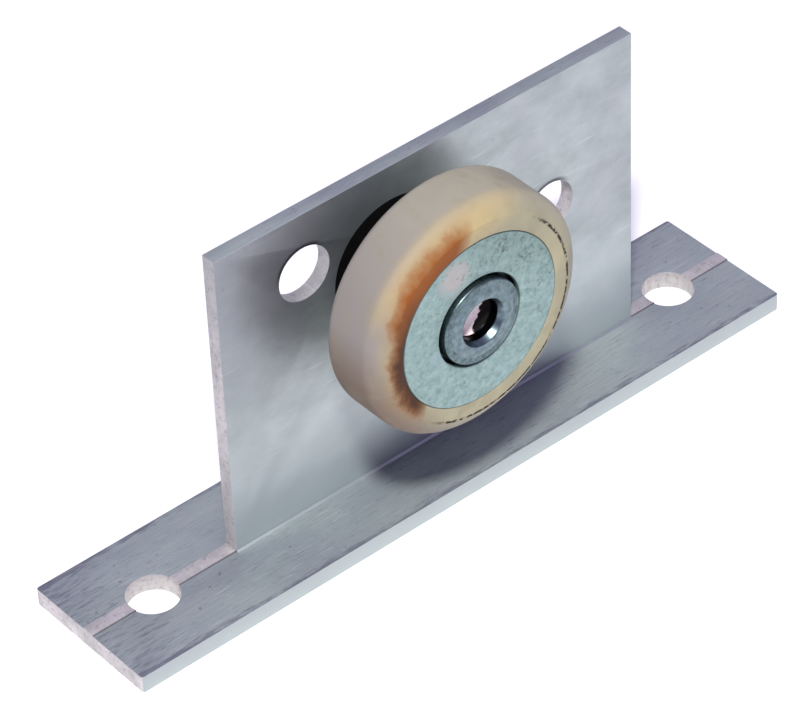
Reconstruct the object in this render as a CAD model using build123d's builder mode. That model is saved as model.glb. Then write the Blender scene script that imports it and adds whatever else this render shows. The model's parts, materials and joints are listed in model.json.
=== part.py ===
"""Sliding door roller: an inverted-T aluminium bracket with a plastic-tyred ball-bearing wheel.

Millimetres. The underside of the base flange is z = 0 and its middle is the origin. X runs
along the flange, Y across it and Z up. The wheel turns about a line along Y in front of the
web, on the -Y side, so every turned piece is drawn as a (radius, y) outline and revolved.
"""

import os

from build123d import *

os.makedirs("parts", exist_ok=True)

# Bracket
flange_length = 160.0
flange_width = 32.0
flange_thickness = 3.8
flange_corner = 0.6
web_length = 100.0
web_centre_x = 3.5
web_top = 73.0
web_thickness = 3.2
web_root_radius = 0.4
stub_height = 0.25
stub_width = 3.0
base_hole_spacing = 130.0
base_hole_radius = 5.25
high_hole_x, high_hole_z, high_hole_radius = -26.6, 59.6, 5.85
low_hole_x, low_hole_z, low_hole_radius = 32.8, 42.9, 5.6

# Wheel
wheel_x = -6.0
wheel_z = 51.7
wheel_y = -18.1
tread_radius = 25.0
tyre_width = 15.4
lip_radius = 21.15
chamfer_width = 2.3
tread_edge_radius = 0.5

# Bearing
cheek_radius = 18.2
cheek_bore_radius = 9.7
cheek_thickness = 1.2
race_outer_radius = 16.9
ball_radius = 2.4
ball_count = 11
pitch_radius = 12.4
groove_radius = ball_radius + 0.05
shoulder_gap = 1.5
inner_race_half_width = 4.6
nose_radius = 8.85
nose_proud = 0.65
cage_half_thickness = 1.0
cage_half_width = 3.3
pocket_radius = ball_radius + 0.1

# Axle
shank_radius = 6.0
rivet_hole = 4.6
flare_radius = 7.4
flare_rise = 0.35
rivet_hole_end = -23.3
rivet_hole_corner = 1.1
washer_radius = 11.0
washer_thickness = 1.5
head_radius = 9.5
head_height = 3.0

# Spacer between web and wheel
spacer_radius = 14.0
spacer_bore = 6.1
spacer_edge = 0.5
boss_radius = 8.8
boss_height = 1.0

# Worked out from the sizes above
web_front = -web_thickness / 2
web_back = web_thickness / 2
web_start = web_centre_x - web_length / 2
web_end = web_centre_x + web_length / 2
wheel_front = wheel_y - tyre_width / 2
wheel_back = wheel_y + tyre_width / 2
nose_front = wheel_front - nose_proud
nose_back = wheel_back + nose_proud
cheek_inner_front = wheel_front + cheek_thickness
cheek_inner_back = wheel_back - cheek_thickness
inner_shoulder = pitch_radius - shoulder_gap
outer_shoulder = pitch_radius + shoulder_gap
groove_half_width = (groove_radius**2 - shoulder_gap**2) ** 0.5
countersink = flare_radius - shank_radius

# The axle line, and the plane whose axes are the radius and y
axle = Axis((wheel_x, 0, wheel_z), (0, 1, 0))
turning_plane = Plane(origin=(wheel_x, 0, wheel_z))
web_plane = Plane(origin=(0, web_back, 0), x_dir=(1, 0, 0), z_dir=(0, -1, 0))


def finish(piece, label):
    """Name the piece and write it to its own file."""
    piece.part.label = label
    export_step(piece.part, f"parts/{label}.step")


# Bracket: flange and web extruded as one section, then the web cut back at both ends
with BuildPart() as bracket:
    with BuildSketch(Plane.XY):
        Rectangle(flange_length, flange_width)
    extrude(amount=flange_thickness)
    fillet(bracket.edges().filter_by(Axis.Z), flange_corner)
    with BuildSketch(Plane.XY.offset(flange_thickness)):
        Rectangle(flange_length, stub_width)
    extrude(amount=stub_height)
    with BuildSketch(Plane.XY.offset(flange_thickness)):
        with Locations((web_centre_x, 0)):
            Rectangle(web_length, web_thickness)
    extrude(amount=web_top - flange_thickness)
    # The root fillets run along both sides of the web
    with BuildSketch(Plane.YZ.offset(web_start)) as root:
        with BuildLine():
            foot = web_thickness / 2 + web_root_radius
            floor = flange_thickness
            wall = floor + web_root_radius
            Polyline((-foot, floor), (foot, floor), (web_back, wall), (web_front, wall), close=True)
        make_face()
    extrude(amount=web_length)
    with BuildSketch(Plane.XY):
        with GridLocations(base_hole_spacing, 1, 2, 1):
            Circle(base_hole_radius)
    extrude(amount=2 * flange_thickness, mode=Mode.SUBTRACT)
    with BuildSketch(web_plane):
        with Locations((high_hole_x, high_hole_z)):
            Circle(high_hole_radius)
        with Locations((low_hole_x, low_hole_z)):
            Circle(low_hole_radius)
        with Locations((wheel_x, wheel_z)):
            Circle(shank_radius)
    extrude(amount=web_thickness, mode=Mode.SUBTRACT)
finish(bracket, "bracket")

# Tyre: flat tread with a chamfer to a flat lip on each side, stepped bore for race and cheeks
with BuildPart() as tyre:
    with BuildSketch(turning_plane):
        with BuildLine():
            Polyline(
                (race_outer_radius, cheek_inner_front),
                (cheek_radius, cheek_inner_front),
                (cheek_radius, wheel_front),
                (lip_radius, wheel_front),
                (tread_radius, wheel_front + chamfer_width),
                (tread_radius, wheel_back - chamfer_width),
                (lip_radius, wheel_back),
                (cheek_radius, wheel_back),
                (cheek_radius, cheek_inner_back),
                (race_outer_radius, cheek_inner_back),
                close=True,
            )
        make_face()
    revolve(axis=axle)
    # The two tread corners are the only circles of the full tread radius
    tread_corners = tyre.edges().filter_by(GeomType.CIRCLE).group_by(SortBy.RADIUS)[-1]
    fillet(tread_corners, tread_edge_radius)
finish(tyre, "tyre")

# Cheeks: plain discs pressed flush into the tyre, front and back
for label, outer_face in (("front_cheek", wheel_front), ("rear_cheek", cheek_inner_back)):
    with BuildPart() as cheek:
        with BuildSketch(turning_plane):
            with Locations(((cheek_bore_radius + cheek_radius) / 2, outer_face + cheek_thickness / 2)):
                Rectangle(cheek_radius - cheek_bore_radius, cheek_thickness)
        revolve(axis=axle)
    finish(cheek, label)

# Outer race: a ring between the cheeks with the ball groove in its bore
with BuildPart() as outer_race:
    with BuildSketch(turning_plane):
        with Locations(((outer_shoulder + race_outer_radius) / 2, wheel_y)):
            Rectangle(race_outer_radius - outer_shoulder, cheek_inner_back - cheek_inner_front)
        with Locations((pitch_radius, wheel_y)):
            Circle(groove_radius, mode=Mode.SUBTRACT)
    revolve(axis=axle)
finish(outer_race, "outer_race")

# Inner race, two halves that meet on the middle plane of the wheel
with BuildPart() as inner_race_front:
    with BuildSketch(turning_plane):
        with BuildLine():
            Polyline(
                (shank_radius, wheel_y),
                (inner_shoulder, wheel_y),
                (inner_shoulder, wheel_y - inner_race_half_width),
                (nose_radius, wheel_y - inner_race_half_width),
                (nose_radius, nose_front + 0.4),
                (nose_radius - 0.4, nose_front),
                (flare_radius, nose_front),
                (shank_radius, nose_front + countersink),
                close=True,
            )
        make_face()
        with Locations((pitch_radius, wheel_y)):
            Circle(groove_radius, mode=Mode.SUBTRACT)
    revolve(axis=axle)
finish(inner_race_front, "inner_race_front")

with BuildPart() as inner_race_rear:
    with BuildSketch(turning_plane):
        with BuildLine():
            Polyline(
                (shank_radius, wheel_y),
                (inner_shoulder, wheel_y),
                (inner_shoulder, wheel_y + inner_race_half_width),
                (nose_radius, wheel_y + inner_race_half_width),
                (nose_radius, nose_back),
                (shank_radius, nose_back),
                close=True,
            )
        make_face()
        with Locations((pitch_radius, wheel_y)):
            Circle(groove_radius, mode=Mode.SUBTRACT)
    revolve(axis=axle)
finish(inner_race_rear, "inner_race_rear")

# Balls, evenly spaced on the pitch circle
pitch_plane = Plane(origin=(wheel_x, wheel_y, wheel_z), x_dir=(1, 0, 0), z_dir=(0, -1, 0))
with Locations(pitch_plane):
    with PolarLocations(pitch_radius, ball_count) as ring:
        ball_places = ring.locations
for number, place in enumerate(ball_places, start=1):
    with BuildPart() as ball:
        with Locations(place):
            Sphere(ball_radius)
    finish(ball, f"ball_{number:02d}")

# Cage: a ring on the pitch circle with one round pocket for each ball
with BuildPart() as ball_cage:
    with BuildSketch(turning_plane):
        with Locations((pitch_radius, wheel_y)):
            Rectangle(2 * cage_half_thickness, 2 * cage_half_width)
    revolve(axis=axle)
    # Each pocket is drilled through the ring from outside, along the ball's own radius
    with Locations(ball_places):
        Cylinder(pocket_radius, 4 * cage_half_thickness, rotation=(0, 90, 0), mode=Mode.SUBTRACT)
finish(ball_cage, "ball_cage")

# Axle rivet: solid shank, hollow end rolled out over the front race, domed head at the back
head_start = web_back + washer_thickness
with BuildPart() as axle_rivet:
    with BuildSketch(turning_plane):
        with BuildLine():
            Polyline(
                (0, rivet_hole_end),
                (0, head_start + head_height),
            )
            ThreePointArc(
                (0, head_start + head_height),
                (head_radius * 0.62, head_start + head_height * 0.72),
                (head_radius, head_start),
            )
            Polyline(
                (head_radius, head_start),
                (shank_radius, head_start),
                (shank_radius, nose_front + countersink),
                (flare_radius, nose_front),
            )
            ThreePointArc(
                (flare_radius, nose_front),
                ((flare_radius + rivet_hole) / 2 + 0.3, nose_front - flare_rise),
                (rivet_hole, nose_front + countersink),
            )
            Line(
                (rivet_hole, nose_front + countersink),
                (rivet_hole, rivet_hole_end - rivet_hole_corner),
            )
            RadiusArc(
                (rivet_hole, rivet_hole_end - rivet_hole_corner),
                (rivet_hole - rivet_hole_corner, rivet_hole_end),
                -rivet_hole_corner,
            )
            Line((rivet_hole - rivet_hole_corner, rivet_hole_end), (0, rivet_hole_end))
        make_face()
    revolve(axis=axle)
finish(axle_rivet, "axle_rivet")

# Spacer: a sleeve against the web, with a boss that bears on the inner race only
with BuildPart() as spacer:
    with BuildSketch(turning_plane):
        with BuildLine():
            Polyline(
                (spacer_bore, web_front),
                (spacer_radius - spacer_edge, web_front),
                (spacer_radius, web_front - spacer_edge),
                (spacer_radius, nose_back + boss_height + spacer_edge),
                (spacer_radius - spacer_edge, nose_back + boss_height),
                (boss_radius, nose_back + boss_height),
                (boss_radius, nose_back),
                (spacer_bore, nose_back),
                close=True,
            )
        make_face()
    revolve(axis=axle)
finish(spacer, "spacer")

# Washer under the rivet head
with BuildPart() as rear_washer:
    with BuildSketch(turning_plane):
        with Locations(((shank_radius + washer_radius) / 2, web_back + washer_thickness / 2)):
            Rectangle(washer_radius - shank_radius, washer_thickness)
    revolve(axis=axle)
finish(rear_washer, "rear_washer")
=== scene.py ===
"""Looks of the sliding door roller: an inverted-T aluminium bracket with a plastic-tyred wheel.

Lengths are in metres unless a name ends in _mm. The wheel turns about a line along Y, so each
turned piece is an outline of (radius, y) points carried round that line.
"""

import json
import math

import bmesh
import bpy
import numpy as np
from mathutils import Matrix, Vector

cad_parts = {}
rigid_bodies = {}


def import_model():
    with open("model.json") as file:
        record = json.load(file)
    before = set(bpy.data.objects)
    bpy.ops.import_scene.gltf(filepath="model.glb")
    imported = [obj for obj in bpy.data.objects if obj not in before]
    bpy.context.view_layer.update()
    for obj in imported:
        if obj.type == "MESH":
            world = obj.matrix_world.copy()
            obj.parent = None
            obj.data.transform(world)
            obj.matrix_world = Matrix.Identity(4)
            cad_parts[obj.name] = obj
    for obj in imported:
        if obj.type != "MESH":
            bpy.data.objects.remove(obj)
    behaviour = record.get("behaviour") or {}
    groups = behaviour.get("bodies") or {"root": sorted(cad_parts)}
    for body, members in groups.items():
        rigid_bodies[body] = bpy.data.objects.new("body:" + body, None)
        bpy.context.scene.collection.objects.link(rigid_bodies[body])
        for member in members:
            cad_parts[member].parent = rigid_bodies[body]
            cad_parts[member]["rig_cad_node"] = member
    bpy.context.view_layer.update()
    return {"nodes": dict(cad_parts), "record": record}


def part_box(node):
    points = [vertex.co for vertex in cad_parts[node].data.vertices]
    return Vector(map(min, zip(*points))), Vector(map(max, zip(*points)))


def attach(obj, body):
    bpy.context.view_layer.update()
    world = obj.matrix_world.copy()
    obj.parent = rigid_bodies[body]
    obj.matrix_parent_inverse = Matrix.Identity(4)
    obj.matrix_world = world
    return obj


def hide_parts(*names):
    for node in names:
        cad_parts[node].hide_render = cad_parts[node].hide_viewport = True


MM = 0.001

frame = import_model()

# ---------------------------------------------------------------- sizes read from the frame

tyre_low, tyre_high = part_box("tyre")
cheek_low, cheek_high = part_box("front_cheek")
race_low, race_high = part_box("inner_race_front")
rear_race_low, rear_race_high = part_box("inner_race_rear")
spacer_low, spacer_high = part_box("spacer")
washer_low, washer_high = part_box("rear_washer")
rivet_low, rivet_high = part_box("axle_rivet")
bracket_low, bracket_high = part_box("bracket")

# Each web hole: its middle on the web's front face and its radius, in millimetres
mounts = {mount["name"]: mount for mount in frame["record"]["mounts"]}
web_front_mm = -washer_low.y / MM
web_holes = []
for hole_name in ("web_high_hole", "web_low_hole"):
    hole = mounts[hole_name]
    hole_x, _, hole_z = (value / MM for value in hole["pos_m"])
    web_holes.append((hole_x, web_front_mm, hole_z, hole["dims"]["r_mm"]))

axle_x = (tyre_low.x + tyre_high.x) / 2
axle_z = (tyre_low.z + tyre_high.z) / 2
tread_radius = (tyre_high.x - tyre_low.x) / 2
wheel_front = tyre_low.y
wheel_back = tyre_high.y
wheel_middle = (wheel_front + wheel_back) / 2
cheek_radius = (cheek_high.x - cheek_low.x) / 2
cheek_thickness = cheek_high.y - cheek_low.y
nose_front = race_low.y
nose_back = rear_race_high.y
race_radius = (race_high.x - race_low.x) / 2
spacer_radius = (spacer_high.x - spacer_low.x) / 2
washer_radius = (washer_high.x - washer_low.x) / 2
head_radius = (rivet_high.x - rivet_low.x) / 2

# Sizes inside the boxes, as the pieces were drawn
lip_radius = 21.15 * MM
chamfer_width = 2.3 * MM
tyre_bore = 16.9 * MM
cheek_bore = 9.7 * MM
nose_radius = 8.85 * MM
shank_radius = 6.0 * MM
flare_radius = 7.4 * MM
rivet_hole = 4.6 * MM
rivet_hole_floor = -23.3 * MM
rivet_hole_corner = 1.1 * MM
countersink = flare_radius - shank_radius
race_half_width = 4.6 * MM
pitch_radius = 12.4 * MM
groove_radius = 2.45 * MM
boss_radius = 8.8 * MM
boss_height = 1.0 * MM

# Flange and strip, used to tell the bracket's faces apart
flange_thickness = 3.8 * MM
strip_top = 4.3 * MM
strip_half_width = 1.55 * MM
hole_reach = 15 * MM

# How far the bracket's sharp corners are worn back
worn_corner = 0.3 * MM


# ---------------------------------------------------------------- shapes

def rounded(corners, steps=5):
    """Outline with rounded corners. Each corner is (radius, y, fillet): its two sides are cut
    back by fillet / tan(half the corner's angle) and joined by an arc of that radius."""
    points = []
    count = len(corners)
    for i, (x, y, fillet) in enumerate(corners):
        here = np.array([x, y])
        if fillet == 0:
            points.append(here[None, :])
            continue
        before = np.array(corners[i - 1][:2]) - here
        after = np.array(corners[(i + 1) % count][:2]) - here
        before /= np.linalg.norm(before)
        after /= np.linalg.norm(after)
        half = math.acos(np.clip(before @ after, -1, 1)) / 2
        centre = here + (before + after) / np.linalg.norm(before + after) * fillet / math.sin(half)
        start = here + before * fillet / math.tan(half) - centre
        end = here + after * fillet / math.tan(half) - centre
        # The arc turns the start radius towards the end radius in equal angles
        sweep = math.pi - 2 * half
        share = np.linspace(0, 1, steps + 1)[:, None]
        arc = (np.sin((1 - share) * sweep) * start + np.sin(share * sweep) * end) / math.sin(sweep)
        points.append(centre + arc)
    return np.concatenate(points)


def add_mesh(name, vertices, faces):
    """A mesh object at the origin from an array of places and an array or list of faces."""
    mesh = bpy.data.meshes.new(name)
    mesh.from_pydata(vertices.tolist(), [], faces)
    mesh.update()
    piece = bpy.data.objects.new(name, mesh)
    bpy.context.scene.collection.objects.link(piece)
    return piece


def close_and_smooth(piece, sharp_degrees=35):
    """Merges doubled points, points the faces outwards and keeps corners over the angle sharp."""
    shell = bmesh.new()
    shell.from_mesh(piece.data)
    bmesh.ops.remove_doubles(shell, verts=shell.verts, dist=1e-7)
    bmesh.ops.recalc_face_normals(shell, faces=shell.faces)
    shell.to_mesh(piece.data)
    shell.free()
    piece.data.polygons.foreach_set("use_smooth", [True] * len(piece.data.polygons))
    piece.data.set_sharp_from_angle(angle=math.radians(sharp_degrees))
    piece.data.update()


def turned(name, outline, wear=None, segments=224):
    """Surface of revolution about the axle line. Outline point (r, y) at angle t goes to
    (axle_x + r cos t, y, axle_z + r sin t). Where given, wear(r, y, t) moves r and y first."""
    t = np.linspace(0, 2 * math.pi, segments, endpoint=False)[:, None]
    r = np.broadcast_to(outline[:, 0], (segments, len(outline)))
    y = np.broadcast_to(outline[:, 1], r.shape)
    if wear is not None:
        r, y = wear(r, y, t)
    grid = np.stack([axle_x + r * np.cos(t), y, axle_z + r * np.sin(t)], axis=-1)
    rings, points = r.shape
    ring = np.arange(rings)[:, None]
    point = np.arange(points)[None, :]
    next_ring = (ring + 1) % rings
    next_point = (point + 1) % points
    quads = np.stack(
        [ring * points + point, next_ring * points + point,
         next_ring * points + next_point, ring * points + next_point], axis=-1
    ).reshape(-1, 4)
    piece = add_mesh(name, grid.reshape(-1, 3), quads.tolist())
    close_and_smooth(piece)
    return piece


# ---------------------------------------------------------------- materials

def linear(hex_colour):
    """sRGB hex to linear RGBA: c / 12.92 below 0.04045, else ((c + 0.055) / 1.055) ** 2.4."""
    channels = [int(hex_colour[i:i + 2], 16) / 255 for i in (1, 3, 5)]
    return [c / 12.92 if c <= 0.04045 else ((c + 0.055) / 1.055) ** 2.4 for c in channels] + [1.0]


def new_material(name):
    """An empty node material and its Principled shader."""
    material = bpy.data.materials.new(name)
    material.use_nodes = True
    tree = material.node_tree
    tree.nodes.clear()
    output = tree.nodes.new("ShaderNodeOutputMaterial")
    shader = tree.nodes.new("ShaderNodeBsdfPrincipled")
    tree.links.new(shader.outputs["BSDF"], output.inputs["Surface"])
    return material, tree, shader


def node(tree, kind, inputs=(), out=0, stops=(), **settings):
    """Adds one node and gives back one of its outputs. Inputs are listed in order, or by name or
    number: a number, a tuple, a hex colour or another node's output. Stops are a colour ramp's
    (place, hex colour) pairs."""
    made = tree.nodes.new("ShaderNode" + kind)
    for name, value in settings.items():
        setattr(made, name, value)
    for key, value in inputs.items() if isinstance(inputs, dict) else enumerate(inputs):
        if isinstance(value, bpy.types.NodeSocket):
            tree.links.new(value, made.inputs[key])
        else:
            made.inputs[key].default_value = linear(value) if isinstance(value, str) else value
    for number, (place, colour) in enumerate(stops):
        if number >= len(made.color_ramp.elements):
            made.color_ramp.elements.new(place)
        made.color_ramp.elements[number].position = place
        made.color_ramp.elements[number].color = linear(colour)
    return made.outputs[out]


def place_in_mm(tree, middle=(0, 0, 0)):
    """Place on the piece in millimetres, measured from a middle point."""
    coordinates = node(tree, "TexCoord", out="Object")
    shift = tuple(-m / MM for m in middle)
    return node(tree, "Mapping", {"Vector": coordinates, "Location": shift, "Scale": (1 / MM,) * 3})


def radius_about_axle(tree, place):
    """Distance from the axle line in millimetres, for a place measured from the axle."""
    flat = node(tree, "VectorMath", [place, (1, 0, 1)], operation="MULTIPLY")
    return node(tree, "VectorMath", [flat], out="Value", operation="LENGTH")


def patterns(tree, place, rows):
    """Cloudy patterns at real sizes. A row is the lumps' size in millimetres, how much longer
    they are along x, y and z, the number of finer layers and their strength."""
    made = []
    for number, (size, stretch, layers, strength) in enumerate(rows):
        shares = tuple(1 / (size * s) for s in stretch)
        shift = (3.1 * number, 1.7 * number, 5.3 * number)
        scaled = node(tree, "Mapping", {"Vector": place, "Scale": shares, "Location": shift})
        made.append(node(
            tree, "TexNoise", {"Vector": scaled, "Scale": 1.0, "Detail": layers, "Roughness": strength}
        ))
    return made


def layered(tree, colour, layers):
    """Lays colours over a first one. A layer is a value, the value where the layer starts, the
    value where it is full, its strength and its hex colour."""
    for value, start, full, strength, cover in layers:
        mask = node(tree, "MapRange", [value, start, full, 0, strength])
        colour = node(tree, "Mix", {0: mask, 6: colour, 7: cover}, out=2, data_type="RGBA")
    return colour


def finish_surface(tree, shader, colour, roughness, relief, relief_mm):
    """Links colour, roughness given as (value, low, high, at low, at high), and a bump whose
    whole range stands relief_mm."""
    tree.links.new(colour, shader.inputs["Base Color"])
    tree.links.new(node(tree, "MapRange", list(roughness)), shader.inputs["Roughness"])
    bump = node(tree, "Bump", {"Height": relief, "Distance": relief_mm * MM})
    tree.links.new(bump, shader.inputs["Normal"])


def mill_aluminium():
    """Extruded aluminium web as it leaves the press: a satin blue-grey that mirrors softly, with
    faint die lines along X, cloudy handling marks and sparse dark specks."""
    material, tree, shader = new_material("mill_aluminium")
    place = place_in_mm(tree)
    cloud, blotch, die_lines, scratch, grain, specks = patterns(tree, place, [
        (16, (1.3, 1, 1), 4, 0.6), (4, (2, 1, 1.4), 4, 0.6), (0.5, (60, 1, 1), 3, 0.6),
        (0.8, (16, 1, 1), 2, 0.5), (0.5, (1.5, 1, 1), 3, 0.6), (1.1, (1, 1, 1), 3, 0.7),
    ])
    colour = node(tree, "ValToRGB", [blotch], stops=[
        (0.32, "#A3ADA9"), (0.50, "#AEB8B4"), (0.68, "#B8C1BD"),
    ])
    colour = layered(tree, colour, [
        (cloud, 0.50, 0.68, 0.35, "#ABA9AE"),
        (die_lines, 0.52, 0.74, 0.22, "#A3ABB1"),
        (scratch, 0.66, 0.74, 0.35, "#DFE3E4"),
        (specks, 0.66, 0.73, 0.55, "#6F7479"),
    ])
    # Painted reflection: a dark patch round the high hole's upper left stands for the wheel's shaded
    # back mirrored in the web
    dark_reflection_patch = (web_holes[0][0] - 5, web_front_mm, web_holes[0][2] + 5)
    dark_reflection_patch = node(tree, "VectorMath", [place, dark_reflection_patch], out="Value", operation="DISTANCE")
    blur = node(tree, "MapRange", [cloud, 0.3, 0.7, -6, 6])
    dark_reflection_patch = node(tree, "Math", [dark_reflection_patch, blur], operation="ADD")
    # The left end is painted a little darker, as painted shade. The foot of the web is painted paler
    # down to the flange, as painted light, with a plainer grey at its root.
    foot = node(tree, "SeparateXYZ", [place], out="Z")
    colour = layered(tree, colour, [
        (foot.node.outputs["X"], -24, -46, 0.30, "#8D9694"),
        (foot, 34, 8, 0.85, "#CCD5D3"),
        (foot, 5.0, 3.7, 0.95, "#B2BBB8"),
        # Painted reflection of the wheel's shaded back, round the high hole
        (dark_reflection_patch, 36, 8, 0.55, "#807E88"),
    ])
    # A thin dark band is painted along the upper rim of each hole
    for rim in web_holes:
        away = node(tree, "VectorMath", [place, rim[:3]], out="Value", operation="DISTANCE")
        above = node(tree, "VectorMath", [place, rim[:3]], operation="SUBTRACT")
        above = node(tree, "VectorMath", [above, (-0.35, 0, 1.0)], out="Value", operation="DOT_PRODUCT")
        near = node(tree, "MapRange", [away, rim[3] + 1.0, rim[3] + 0.35, 0, 1])
        above = node(tree, "MapRange", [above, 2.0, 5.0, 0, 1])
        darkening = node(tree, "Math", [near, above], operation="MULTIPLY")
        colour = layered(tree, colour, [(darkening, 0, 1, 0.85, "#2A2A30")])
    shader.inputs["Metallic"].default_value = 0.8
    relief = node(tree, "Math", [die_lines, grain], operation="ADD")
    finish_surface(tree, shader, colour, (cloud, 0.3, 0.7, 0.38, 0.48), relief, 0.02)
    return material


def scuffed_aluminium():
    """The flange's top, dulled by handling and fixing: an oxidised, nearly matt grey with
    scratches along X, dark smears near the ends and grime along its edges."""
    material, tree, shader = new_material("scuffed_aluminium")
    place = place_in_mm(tree)
    cloud, smear, lines, scratch, grain, specks = patterns(tree, place, [
        (18, (1.5, 1, 1), 3, 0.6), (0.6, (7, 1, 1), 5, 0.7), (0.4, (40, 1, 1), 3, 0.6),
        (0.32, (22, 1, 1), 2, 0.6), (0.45, (2, 1, 1), 3, 0.6), (0.8, (2, 1, 1), 3, 0.7),
    ])
    along = node(tree, "SeparateXYZ", [place])
    across = along.node.outputs["Y"]
    colour = node(tree, "ValToRGB", [cloud], stops=[
        (0.34, "#949B9F"), (0.50, "#9EA8A7"), (0.66, "#A8B2AE"),
    ])
    # Grime runs in from the left end and from the long edges, broken by the smears
    left = node(tree, "MapRange", [along, -79, -62, 0.12, 0.0])
    edge = node(tree, "Math", [across], operation="ABSOLUTE")
    edge = node(tree, "MapRange", [edge, 14.3, 15.9, 0.0, 0.24])
    darkening = node(tree, "Math", [smear, left], operation="ADD")
    darkening = node(tree, "Math", [darkening, edge], operation="ADD")
    colour = layered(tree, colour, [
        (along, 15, 70, 0.30, "#BAC4C2"),
        (lines, 0.44, 0.72, 0.30, "#858A92"),
        (darkening, 0.56, 0.78, 0.70, "#5A5B6C"),
        (scratch, 0.62, 0.72, 0.42, "#C8CFCE"),
        (specks, 0.66, 0.72, 0.60, "#40414C"),
    ])
    shader.inputs["Metallic"].default_value = 0.6
    relief = node(tree, "Math", [lines, grain], operation="ADD")
    finish_surface(tree, shader, colour, (darkening, 0.4, 0.8, 0.55, 0.68), relief, 0.04)
    return material


def sawn_aluminium():
    """Aluminium cut by a saw or milled back: pale, warm and rough, with dark pits and bright
    cutter marks."""
    material, tree, shader = new_material("sawn_aluminium")
    place = place_in_mm(tree)
    pits, marks, cloud = patterns(tree, place, [
        (0.9, (1.5, 1, 1), 4, 0.7), (0.6, (1, 8, 8), 2, 0.5), (5, (1, 1, 1), 3, 0.6),
    ])
    colour = node(tree, "ValToRGB", [cloud], stops=[(0.35, "#BBB9B5"), (0.65, "#D2CDC9")])
    # The cut faces are painted darker the higher they are, and a dark line is painted along the low
    # strip's front
    height = node(tree, "SeparateXYZ", [place], out="Z")
    across = height.node.outputs["Y"]
    strip_dark_line = node(tree, "MapRange", [across, -1.22, -1.40, 0, 1])
    below_web = node(tree, "MapRange", [height, 4.5, 4.2, 0, 1])
    strip_dark_line = node(tree, "Math", [strip_dark_line, below_web], operation="MULTIPLY")
    above_ends = node(tree, "MapRange", [height, 3.6, 3.9, 0, 1])
    strip_dark_line = node(tree, "Math", [strip_dark_line, above_ends], operation="MULTIPLY")
    colour = layered(tree, colour, [
        (pits, 0.54, 0.66, 0.60, "#88868A"),
        (marks, 0.60, 0.72, 0.35, "#EAE9E8"),
        (height, 30, 72, 0.55, "#8B908E"),
        # Dark line painted along the low strip's front
        (strip_dark_line, 0, 1, 0.75, "#4A4A54"),
    ])
    shader.inputs["Metallic"].default_value = 0.6
    relief = node(tree, "Math", [marks, pits], operation="ADD")
    finish_surface(tree, shader, colour, (pits, 0.3, 0.7, 0.5, 0.65), relief, 0.06)
    return material


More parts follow.
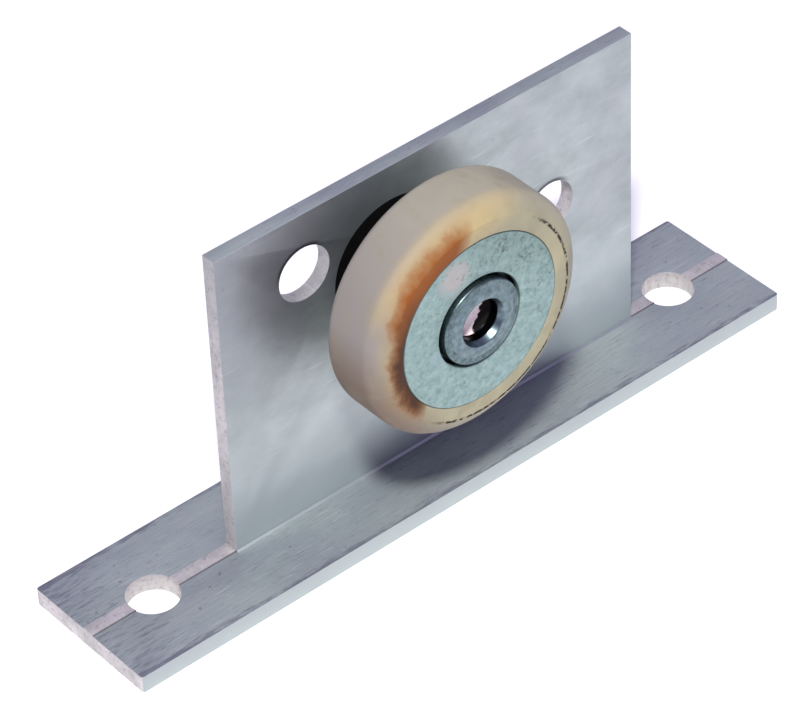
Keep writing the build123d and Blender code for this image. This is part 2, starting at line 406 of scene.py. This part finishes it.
def ivory_nylon():
    """Cast nylon, cloudy and slightly see-through: greenish cream on top, pinkish grey on the left
    of the tread as painted shade, with a rust-brown grease stain creeping out from the plated disc
    and black grit in the turned line round the lip."""
    material, tree, shader = new_material("ivory_nylon")
    place = place_in_mm(tree, (axle_x, wheel_middle, axle_z))
    radius = radius_about_axle(tree, place)
    cloud, wisps, turned_lines, break_up = patterns(tree, place, [
        (12, (1, 1, 1), 3, 0.55), (4, (1, 1.5, 1), 4, 0.6), (0.5, (60, 1, 60), 2, 0.5),
        (1.5, (1, 1, 1), 3, 0.65),
    ])
    right = node(tree, "SeparateXYZ", [place])
    forward = right.node.outputs["Y"]
    up = right.node.outputs["Z"]
    colour = node(tree, "ValToRGB", [cloud], stops=[
        (0.30, "#979377"), (0.50, "#A29D7F"), (0.70, "#ADA785"),
    ])
    # The tread is greyer than the face, and browner underneath it. Its left is painted greyer and
    # pinker still, as painted shade.
    tread = node(tree, "MapRange", [radius, 21.6, 24.2, 0, 1])
    left = node(tree, "MapRange", [right, 6, -22, 0, 1])
    shaded_left = node(tree, "Math", [tread, left], operation="MULTIPLY")
    under = node(tree, "VectorMath", [place, (-0.84, 0, -0.54)], out="Value", operation="DOT_PRODUCT")
    # The stain is deep at the disc's edge on the left and gone on the right
    front = node(tree, "MapRange", [forward, -3.0, -6.5, 0, 1])
    side = node(tree, "VectorMath", [place, (-0.94, 0, 0.34)], out="Value", operation="DOT_PRODUCT")
    side = node(tree, "MapRange", [side, 7.9, 11.2, 0, 1])
    side = node(tree, "Math", [side, front], operation="MULTIPLY")
    wander = node(tree, "MapRange", [wisps, 0.3, 0.7, -0.9, 0.9])
    ragged = node(tree, "Math", [radius, wander], operation="ADD")
    # It spreads widest where it starts, high on the left
    narrow = node(tree, "MapRange", [up, 16, 0, 0, 2.0])
    spread = node(tree, "Math", [ragged, narrow], operation="ADD")
    haze = node(tree, "MapRange", [spread, 25.4, 22.4, 0, 1])
    haze = node(tree, "Math", [haze, side], operation="MULTIPLY")
    amber = node(tree, "MapRange", [spread, 23.6, 21.0, 0, 1])
    amber = node(tree, "Math", [amber, side], operation="MULTIPLY")
    # It is brightest there too, and darkens lower down
    low = node(tree, "MapRange", [up, 14, 2, 0.2, 1])
    umber = node(tree, "Math", [amber, low], operation="MULTIPLY")
    brown = node(tree, "MapRange", [ragged, 20.8, 18.7, 0, 1])
    brown = node(tree, "Math", [brown, side], operation="MULTIPLY")
    brown = node(tree, "Math", [brown, low], operation="MULTIPLY")
    # The chamfer has yellowed above the stain
    butter = node(tree, "VectorMath", [place, (-0.34, 0, 0.94)], out="Value", operation="DOT_PRODUCT")
    butter = node(tree, "MapRange", [butter, 14.5, 20.5, 0, 1])
    butter = node(tree, "Math", [butter, front], operation="MULTIPLY")
    # Grit stays in the turned line, broken up round the rim
    off_line = node(tree, "Math", [radius, lip_radius / MM], operation="SUBTRACT")
    off_line = node(tree, "Math", [off_line], operation="ABSOLUTE")
    line = node(tree, "MapRange", [off_line, 0.42, 0.18, 0, 1])
    line = node(tree, "Math", [line, front], operation="MULTIPLY")
    open_side = node(tree, "Math", [up, -0.75], operation="MULTIPLY")
    open_side = node(tree, "Math", [open_side, right], operation="ADD")
    open_side = node(tree, "MapRange", [open_side, 0.0, 6.0, 0, 1])
    line = node(tree, "Math", [line, open_side], operation="MULTIPLY")
    broken = node(tree, "MapRange", [break_up, 0.44, 0.50, 0, 1])
    grit = node(tree, "Math", [line, broken], operation="MULTIPLY")
    colour = layered(tree, colour, [
        (tread, 0, 1, 0.55, "#9C9A8C"),
        # The tread's left, painted greyer and pinker as painted shade
        (shaded_left, 0, 1, 0.85, "#86807B"),
        (under, 17, 23.5, 0.80, "#76634E"),
        (wisps, 0.50, 0.70, 0.45, "#8B8468"),
        (butter, 0, 1, 0.55, "#C2A96D"),
        (haze, 0, 1, 0.50, "#94714A"),
        (amber, 0, 1, 1.0, "#93510F"),
        (umber, 0, 1, 0.85, "#5E390D"),
        (brown, 0, 1, 0.95, "#3E2104"),
        (grit, 0, 1, 0.97, "#14110B"),
    ])
    shader.inputs["IOR"].default_value = 1.53
    shader.inputs["Specular IOR Level"].default_value = 0.28
    shader.inputs["Subsurface Weight"].default_value = 0.2
    shader.inputs["Subsurface Radius"].default_value = (1.0, 0.8, 0.5)
    shader.inputs["Subsurface Scale"].default_value = 2.0 * MM
    finish_surface(tree, shader, colour, (cloud, 0.3, 0.7, 0.56, 0.68), turned_lines, 0.01)
    return material


def zinc_plate():
    """Zinc-plated pressed steel with a pale blue-green passivate: matt and mottled, with small
    dark pits, worst at the upper right, one dull pinkish patch and a dark line round the rim."""
    material, tree, shader = new_material("zinc_plate")
    place = place_in_mm(tree, (axle_x, wheel_middle, axle_z))
    patches, mottle, pits = patterns(tree, place, [
        (6, (1, 1, 1), 4, 0.6), (1.6, (1, 1, 1), 5, 0.68), (0.65, (1, 1, 1), 4, 0.7),
    ])
    colour = node(tree, "ValToRGB", [mottle], stops=[
        (0.32, "#809A93"), (0.48, "#90AAA2"), (0.66, "#A0B9B1"),
    ])
    # Pitting is worst at the upper right
    upper = node(tree, "VectorMath", [place, (0.5, 0, 0.87)], out="Value", operation="DOT_PRODUCT")
    worst = node(tree, "MapRange", [upper, 8, 16, -0.03, 0.07])
    pitting = node(tree, "MapRange", [patches, 0.42, 0.62, -0.06, 0.06])
    pitting = node(tree, "Math", [pitting, worst], operation="ADD")
    pitting = node(tree, "Math", [pitting, pits], operation="ADD")
    rim = radius_about_axle(tree, place)
    pink = node(tree, "VectorMath", [place, (-5.5, -7.7, 12.9)], out="Value", operation="DISTANCE")
    blur = node(tree, "MapRange", [mottle, 0.3, 0.7, -2, 2])
    pink = node(tree, "Math", [pink, blur], operation="ADD")
    colour = layered(tree, colour, [
        (patches, 0.46, 0.30, 0.5, "#98B2B0"),
        (upper, 8, 17, 0.45, "#6E847A"),
        (pink, 4.2, 2.0, 0.7, "#BDB1AB"),
        (pitting, 0.52, 0.66, 0.42, "#6E807B"),
        (pitting, 0.60, 0.74, 0.75, "#42514C"),
        (rim, 17.90, 18.06, 0.8, "#39413F"),
    ])
    shader.inputs["Metallic"].default_value = 0.6
    relief = node(tree, "Math", [mottle, pitting], operation="SUBTRACT")
    finish_surface(tree, shader, colour, (mottle, 0.3, 0.7, 0.62, 0.5), relief, 0.03)
    return material


def race_steel():
    """Turned bearing steel under a thin dark plating: blue-grey and smooth, with turning rings
    and dark oil spots."""
    material, tree, shader = new_material("race_steel")
    place = place_in_mm(tree, (axle_x, wheel_middle, axle_z))
    radius = radius_about_axle(tree, place)
    rings = node(tree, "TexNoise", {"W": radius, "Scale": 4.5, "Detail": 2}, noise_dimensions="1D")
    spots, = patterns(tree, place, [(1.1, (1, 1, 1), 3, 0.65)])
    colour = node(tree, "ValToRGB", [spots], stops=[
        (0.35, "#566667"), (0.50, "#697C7C"), (0.65, "#778A8A"),
    ])
    shader.inputs["Metallic"].default_value = 1.0
    finish_surface(tree, shader, colour, (spots, 0.3, 0.7, 0.42, 0.34), rings, 0.01)
    return material


def rivet_steel():
    """Mild steel rivet, plated, its hollow end rolled out by a press: smooth, slightly scuffed,
    brighter where the tool rubbed."""
    material, tree, shader = new_material("rivet_steel")
    place = place_in_mm(tree, (axle_x, wheel_middle, axle_z))
    scuffs, = patterns(tree, place, [(1.4, (1, 1, 1), 4, 0.6)])
    colour = node(tree, "ValToRGB", [scuffs], stops=[
        (0.34, "#5F7072"), (0.50, "#728587"), (0.68, "#849799"),
    ])
    # The bore below its bright rolled mouth is painted black, as painted shade in the hollow
    bore = node(tree, "MapRange", [radius_about_axle(tree, place), 4.40, 4.32, 0, 1])
    forward = node(tree, "SeparateXYZ", [place], out="Y")
    hollow = node(tree, "MapRange", [forward, -4.5, -5.0, 0, 1])
    bore = node(tree, "Math", [bore, hollow], operation="MULTIPLY")
    colour = layered(tree, colour, [(bore, 0, 1, 0.98, "#060708")])
    shader.inputs["Metallic"].default_value = 1.0
    finish_surface(tree, shader, colour, (scuffs, 0.3, 0.7, 0.36, 0.28), scuffs, 0.01)
    return material


def dried_grease():
    """Pale pinkish assembly grease dried on the floor of the rivet's hollow: matt and lumpy."""
    material, tree, shader = new_material("dried_grease")
    place = place_in_mm(tree, (axle_x, wheel_middle, axle_z))
    lumps, = patterns(tree, place, [(1.0, (1, 1, 1), 3, 0.6)])
    colour = node(tree, "ValToRGB", [lumps], stops=[(0.35, "#FBE3DC"), (0.60, "#FFF6F0")])
    # Towards the right it breaks off raggedly into black, painted shade deep in the hollow
    edge = node(tree, "VectorMath", [place, (0.89, 0, -0.46)], out="Value", operation="DOT_PRODUCT")
    broken = node(tree, "Math", [lumps, 2.4], operation="MULTIPLY")
    broken = node(tree, "Math", [edge, broken], operation="ADD")
    colour = layered(tree, colour, [(broken, 2.9, 3.1, 0.99, "#040405")])
    shader.inputs["IOR"].default_value = 1.46
    shader.inputs["Specular IOR Level"].default_value = 0.08
    finish_surface(tree, shader, colour, (lumps, 0.3, 0.7, 0.75, 0.9), lumps, 0.15)
    return material


def ball_steel():
    """Lapped chrome steel ball: near mirror, with faint running marks."""
    material, tree, shader = new_material("ball_steel")
    marks, = patterns(tree, place_in_mm(tree), [(0.8, (1, 1, 1), 2, 0.5)])
    colour = node(tree, "ValToRGB", [marks], stops=[(0.3, "#B8BABD"), (0.7, "#CBCDD0")])
    shader.inputs["Metallic"].default_value = 1.0
    finish_surface(tree, shader, colour, (marks, 0.3, 0.7, 0.08, 0.16), marks, 0.002)
    return material


def ground_steel():
    """Ground bearing steel: plain grey with fine rings round the axle."""
    material, tree, shader = new_material("ground_steel")
    place = place_in_mm(tree, (axle_x, wheel_middle, axle_z))
    rings, = patterns(tree, place, [(0.4, (40, 1, 40), 2, 0.5)])
    colour = node(tree, "ValToRGB", [rings], stops=[(0.3, "#9A9C9F"), (0.7, "#B2B4B7")])
    shader.inputs["Metallic"].default_value = 1.0
    finish_surface(tree, shader, colour, (rings, 0.3, 0.7, 0.25, 0.38), rings, 0.005)
    return material


def cage_nylon():
    """Moulded natural nylon: milky, low gloss."""
    material, tree, shader = new_material("cage_nylon")
    flow, = patterns(tree, place_in_mm(tree), [(2.5, (1, 1, 1), 2, 0.5)])
    colour = node(tree, "ValToRGB", [flow], stops=[(0.3, "#D6CFBB"), (0.7, "#E4DECD")])
    shader.inputs["IOR"].default_value = 1.53
    finish_surface(tree, shader, colour, (flow, 0.3, 0.7, 0.45, 0.55), flow, 0.01)
    return material


def black_plastic():
    """Moulded black plastic spacer: matt, with a fine spark-eroded grain and a little dust."""
    material, tree, shader = new_material("black_plastic")
    grain, dust = patterns(tree, place_in_mm(tree), [
        (0.5, (1, 1, 1), 2, 0.5), (3, (1, 1, 1), 3, 0.6),
    ])
    colour = node(tree, "ValToRGB", [dust], stops=[(0.4, "#010101"), (0.75, "#030303")])
    shader.inputs["IOR"].default_value = 1.5
    shader.inputs["Specular IOR Level"].default_value = 0.06
    finish_surface(tree, shader, colour, (grain, 0.3, 0.7, 0.75, 0.9), grain, 0.02)
    return material


def paint(piece, *materials):
    """Gives a piece its materials, first slot first."""
    piece.data.materials.clear()
    for material in materials:
        piece.data.materials.append(material)


aluminium = mill_aluminium()
scuffed = scuffed_aluminium()
sawn = sawn_aluminium()
grease = dried_grease()
nylon = ivory_nylon()
zinc = zinc_plate()
dark_race = race_steel()
rivet_metal = rivet_steel()
polished = ball_steel()
ground = ground_steel()
natural_nylon = cage_nylon()
spacer_black = black_plastic()


# ---------------------------------------------------------------- pieces

def make_tyre():
    """Tyre outline: stepped bore, flat lip with a turned line at its edge, chamfer, tread."""
    step = cheek_thickness
    line_half, line_depth = 0.16 * MM, 0.16 * MM
    front, back = wheel_front, wheel_back
    outline = rounded([
        (tyre_bore, front + step, 0), (cheek_radius, front + step, 0),
        (cheek_radius, front, 0.12 * MM),
        (lip_radius - line_half, front, 0.05 * MM),
        (lip_radius, front + line_depth, 0.05 * MM),
        (lip_radius + line_half, front + 0.04 * MM, 0.10 * MM),
        (tread_radius, front + chamfer_width, 2.6 * MM),
        (tread_radius, back - chamfer_width, 2.0 * MM),
        (lip_radius, back, 0.6 * MM),
        (cheek_radius, back, 0.12 * MM),
        (cheek_radius, back - step, 0), (tyre_bore, back - step, 0),
    ])

    def wear(r, y, t):
        """The tread is up to 0.05 mm low in long shallow waves. The turned line is full at the
        lower right and worn away at the upper left, by a clipped cosine of the angle."""
        tread = np.clip((r - lip_radius) / (tread_radius - lip_radius), 0, 1)
        waves = np.sin(5 * t + 1.0) * 0.5 + np.sin(11 * t + 250 * y) * 0.3 - 0.8
        crisp = np.clip(0.5 + 1.2 * np.cos(t + math.radians(50)), 0, 1)
        in_line = (np.abs(r - lip_radius) < line_half) & (y > front) & (y < front + line_depth * 2)
        lifted = np.where(in_line, front + (y - front) * crisp, y)
        return r + tread * waves * 0.03 * MM, lifted

    tyre = turned("tyre_cast", outline, wear, segments=288)
    paint(tyre, nylon)
    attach(tyre, "wheel")
    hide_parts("tyre")


def make_cheek(name, replaced, outer, inner):
    """Pressed disc: outer face at y = outer, rolled bore edge and a small radius at the rim."""
    outline = rounded([
        (cheek_bore, outer, 0.35 * MM), (cheek_radius - 0.02 * MM, outer, 0.22 * MM),
        (cheek_radius - 0.02 * MM, inner, 0.1 * MM), (cheek_bore, inner, 0.1 * MM),
    ])
    cheek = turned(name, outline)
    paint(cheek, zinc)
    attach(cheek, "wheel")
    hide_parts(replaced)


def make_race(name, replaced, nose, towards, mouth):
    """Half inner race: half groove on the middle plane, shoulder, then the nose, whose mouth
    is countersunk by that much. Towards is +1 for the rear half and -1 for the front."""
    middle = wheel_middle
    groove_half = math.asin((pitch_radius - race_radius) / groove_radius)
    angle = np.linspace(-math.pi / 2, -groove_half - 0.02, 14)
    groove = np.stack([
        pitch_radius + groove_radius * np.sin(angle),
        middle + towards * groove_radius * np.cos(angle),
    ], axis=-1)
    shoulder = middle + towards * race_half_width
    rest = rounded([
        (race_radius, middle + towards * 2.2 * MM, 0), (race_radius, shoulder, 0.2 * MM),
        (nose_radius, shoulder, 0.1 * MM), (nose_radius, nose, 0.38 * MM),
        (shank_radius + mouth, nose, 0.08 * MM if mouth else 0),
        (shank_radius, nose - towards * mouth if mouth else nose, 0),
        (shank_radius, middle, 0),
    ])
    # The groove's arc joins the outline between its last and first points
    outline = np.concatenate([rest, groove])
    race = turned(name, outline)
    paint(race, dark_race)
    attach(race, "bracket")
    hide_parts(replaced)


def make_rivet():
    """Rivet outline: blind hollow with a conical mouth, rolled rim, shank and domed head."""
    head_start = washer_high.y
    bore = rivet_hole - 0.3 * MM
    # The head is a quarter of an ellipse on a short straight edge
    turn = np.linspace(0, math.pi / 2, 14)[:, None]
    dome_start = head_start + 0.5 * MM
    head = np.concatenate([
        head_radius * np.cos(turn),
        dome_start + (rivet_high.y - dome_start) * np.sin(turn),
    ], axis=1)
    # The hollow is a cup with a rounded corner. Its mouth opens in a short 30 degree cone and
    # rolls over a low crest to the race.
    mouth_depth, mouth_slope = 0.95 * MM, 0.577
    cone = mouth_slope * (mouth_depth - rivet_low.y + nose_front)
    hollow = rounded([
        (0, rivet_hole_floor, 0), (bore, rivet_hole_floor, rivet_hole_corner),
        (bore, nose_front + mouth_depth, 0.15 * MM),
        (bore + cone, rivet_low.y, 0.35 * MM),
        (flare_radius - 1.1 * MM, rivet_low.y, 0.8 * MM),
        (flare_radius, nose_front, 0),
    ], steps=9)
    outline = np.concatenate([
        hollow,
        [[shank_radius, nose_front + countersink], [shank_radius, head_start]],
        [[head_radius - 0.05 * MM, head_start]],
        head,
    ])
    rivet = turned("rivet_turned", outline)
    paint(rivet, rivet_metal, grease)
    # Only the hollow's floor carries the dried grease
    count = len(rivet.data.polygons)
    middles = np.empty(count * 3)
    rivet.data.polygons.foreach_get("center", middles)
    middles = middles.reshape(-1, 3)
    away = np.hypot(middles[:, 0] - axle_x, middles[:, 2] - axle_z)
    floor = (away < rivet_hole) & (middles[:, 1] < rivet_hole_floor + 0.01 * MM)
    floor &= middles[:, 1] > rivet_hole_floor - 0.5 * MM
    rivet.data.polygons.foreach_set("material_index", floor.astype(np.int32))
    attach(rivet, "bracket")
    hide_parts("axle_rivet")


def make_spacer():
    """Moulded sleeve: flat against the web, a boss at the front, softened edges."""
    bore = shank_radius + 0.1 * MM
    outline = rounded([
        (bore, spacer_high.y, 0), (spacer_radius, spacer_high.y, 0.4 * MM),
        (spacer_radius, spacer_low.y + boss_height, 0.6 * MM),
        (boss_radius, spacer_low.y + boss_height, 0.2 * MM),
        (boss_radius, spacer_low.y, 0.2 * MM), (bore, spacer_low.y, 0),
    ])
    spacer = turned("spacer_moulded", outline)
    paint(spacer, spacer_black)
    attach(spacer, "bracket")
    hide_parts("spacer")


def make_washer():
    """Plain stamped washer, rounded on its upper edge as punching leaves it."""
    outline = rounded([
        (shank_radius, washer_low.y, 0), (washer_radius, washer_low.y, 0.1 * MM),
        (washer_radius, washer_high.y, 0.35 * MM), (shank_radius, washer_high.y, 0),
    ])
    washer = turned("washer_stamped", outline)
    paint(washer, zinc)
    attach(washer, "bracket")
    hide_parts("rear_washer")


def make_bracket():
    """The bracket's own shape with its sharp outer corners rounded off, and the cut faces given
    the sawn finish."""
    piece = frame["nodes"]["bracket"].copy()
    piece.data = piece.data.copy()
    piece.name = "bracket_extruded"
    bpy.context.scene.collection.objects.link(piece)
    shell = bmesh.new()
    shell.from_mesh(piece.data)
    bmesh.ops.remove_doubles(shell, verts=shell.verts, dist=1e-6)
    bmesh.ops.dissolve_limit(
        shell, angle_limit=math.radians(0.5), verts=shell.verts, edges=shell.edges
    )
    sharp = [
        edge for edge in shell.edges
        if len(edge.link_faces) == 2 and edge.calc_face_angle(0) > math.radians(30)
        and edge.is_convex
    ]
    bmesh.ops.bevel(
        shell, geom=sharp, offset=worn_corner, segments=3, profile=0.5, affect="EDGES",
        clamp_overlap=True, harden_normals=False,
    )
    shell.to_mesh(piece.data)
    shell.free()
    if "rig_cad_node" in piece:
        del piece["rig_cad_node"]
    mesh = piece.data
    mesh.polygons.foreach_set("use_smooth", [True] * len(mesh.polygons))
    mesh.set_sharp_from_angle(angle=math.radians(25))
    paint(piece, aluminium, scuffed, sawn)
    # The top and underside of the flange and the top of the web are scuffed. Both ends, the
    # drilled walls and the low strip are cut faces. The rest is as extruded.
    count = len(mesh.polygons)
    normals = np.empty(count * 3)
    middles = np.empty(count * 3)
    mesh.polygons.foreach_get("normal", normals)
    mesh.polygons.foreach_get("center", middles)
    normals = normals.reshape(-1, 3)
    middles = middles.reshape(-1, 3)
    flange = middles[:, 2] < strip_top
    strip = (np.abs(middles[:, 1]) < strip_half_width) & flange
    strip &= middles[:, 2] > flange_thickness + 0.05 * MM
    upright = np.abs(normals[:, 1]) < 0.7
    ends = upright & (np.abs(normals[:, 0]) > 0.5)
    in_flange = flange & (np.abs(normals[:, 2]) < 0.5) & (np.abs(middles[:, 1]) < hole_reach)
    in_web = ~flange & upright & (middles[:, 2] < bracket_high.z - 2 * MM)
    drilled = in_flange | in_web
    top = (middles[:, 2] > bracket_high.z - 1 * MM) & (normals[:, 2] > 0.5)
    kinds = np.where(strip | ends | drilled, 2, np.where((flange & upright) | top, 1, 0))
    mesh.polygons.foreach_set("material_index", kinds.astype(np.int32))
    piece.parent = None
    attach(piece, "bracket")
    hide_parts("bracket")


make_tyre()
make_cheek("front_cheek_pressed", "front_cheek", wheel_front, wheel_front + cheek_thickness)
make_cheek("rear_cheek_pressed", "rear_cheek", wheel_back, wheel_back - cheek_thickness)
make_race("front_race_turned", "inner_race_front", nose_front, -1, countersink)
make_race("rear_race_turned", "inner_race_rear", nose_back, 1, 0)
make_rivet()
make_spacer()
make_washer()
make_bracket()

for name, cad_node in frame["nodes"].items():
    if name.startswith("ball_") and name != "ball_cage":
        paint(cad_node, polished)
        cad_node.data.polygons.foreach_set("use_smooth", [True] * len(cad_node.data.polygons))
paint(frame["nodes"]["ball_cage"], natural_nylon)
paint(frame["nodes"]["outer_race"], ground)


# ---------------------------------------------------------------- studio

def make_floor():
    """Wide white sheet under the object, lit to nearly white."""
    half = 3.0
    corners = np.array([(-half, -half, 0), (half, -half, 0), (half, half, 0), (-half, half, 0)])
    floor = add_mesh("white_sheet", corners, [(0, 1, 2, 3)])
    material, tree, shader = new_material("white_sheet")
    fibres, = patterns(tree, place_in_mm(tree), [(40, (1, 1, 1), 2, 0.5)])
    colour = node(tree, "ValToRGB", [fibres], stops=[(0.3, "#F4F4F4"), (0.7, "#F7F7F7")])
    finish_surface(tree, shader, colour, (fibres, 0.3, 0.7, 0.85, 0.95), fibres, 0.01)
    paint(floor, material)


def soft_light(name, towards, distance, size, watts):
    """Round white area light at that distance along the direction, facing the wheel."""
    target = Vector((0, 0, 0.035))
    direction = Vector(towards).normalized()
    light = bpy.data.lights.new(name, "AREA")
    light.shape = "DISK"
    light.size = size
    light.energy = watts
    lamp = bpy.data.objects.new(name, light)
    lamp.location = target + direction * distance
    lamp.rotation_euler = direction.to_track_quat("Z", "Y").to_euler()
    bpy.context.scene.collection.objects.link(lamp)


def make_studio():
    """Key light above the camera's shoulder and a dim violet surround that fills the shadows."""
    soft_light("key", (-0.347, -0.406, 0.846), 2.4, 0.26, 71)
    world = bpy.data.worlds.new("surround")
    world.use_nodes = True
    background = world.node_tree.nodes["Background"]
    background.inputs["Color"].default_value = linear("#D2C2FF")
    background.inputs["Strength"].default_value = 0.38
    bpy.context.scene.world = world
    bpy.context.scene.view_settings.view_transform = "Standard"


def make_camera():
    """Long lens from the left front, looking down 40 degrees, rolled a little."""
    azimuth, elevation, roll = (math.radians(a) for a in (-38.854, 40.27, -2.603))
    back = Vector((
        math.sin(azimuth) * math.cos(elevation),
        -math.cos(azimuth) * math.cos(elevation),
        math.sin(elevation),
    ))
    level = (-back).cross(Vector((0, 0, 1))).normalized()
    upright = level.cross(-back)
    right = level * math.cos(roll) + upright * math.sin(roll)
    up = upright * math.cos(roll) - level * math.sin(roll)
    lens = bpy.data.cameras.new("camera")
    lens.sensor_width = 36.0
    lens.lens = 190.28
    lens.clip_start = 0.05
    camera = bpy.data.objects.new("camera", lens)
    place = Vector((-0.38420, -0.47177, 0.53847))
    camera.matrix_world = Matrix((
        (right.x, up.x, back.x, place.x),
        (right.y, up.y, back.y, place.y),
        (right.z, up.z, back.z, place.z),
        (0, 0, 0, 1),
    ))
    bpy.context.scene.collection.objects.link(camera)
    bpy.context.scene.camera = camera


make_floor()
make_studio()
make_camera()
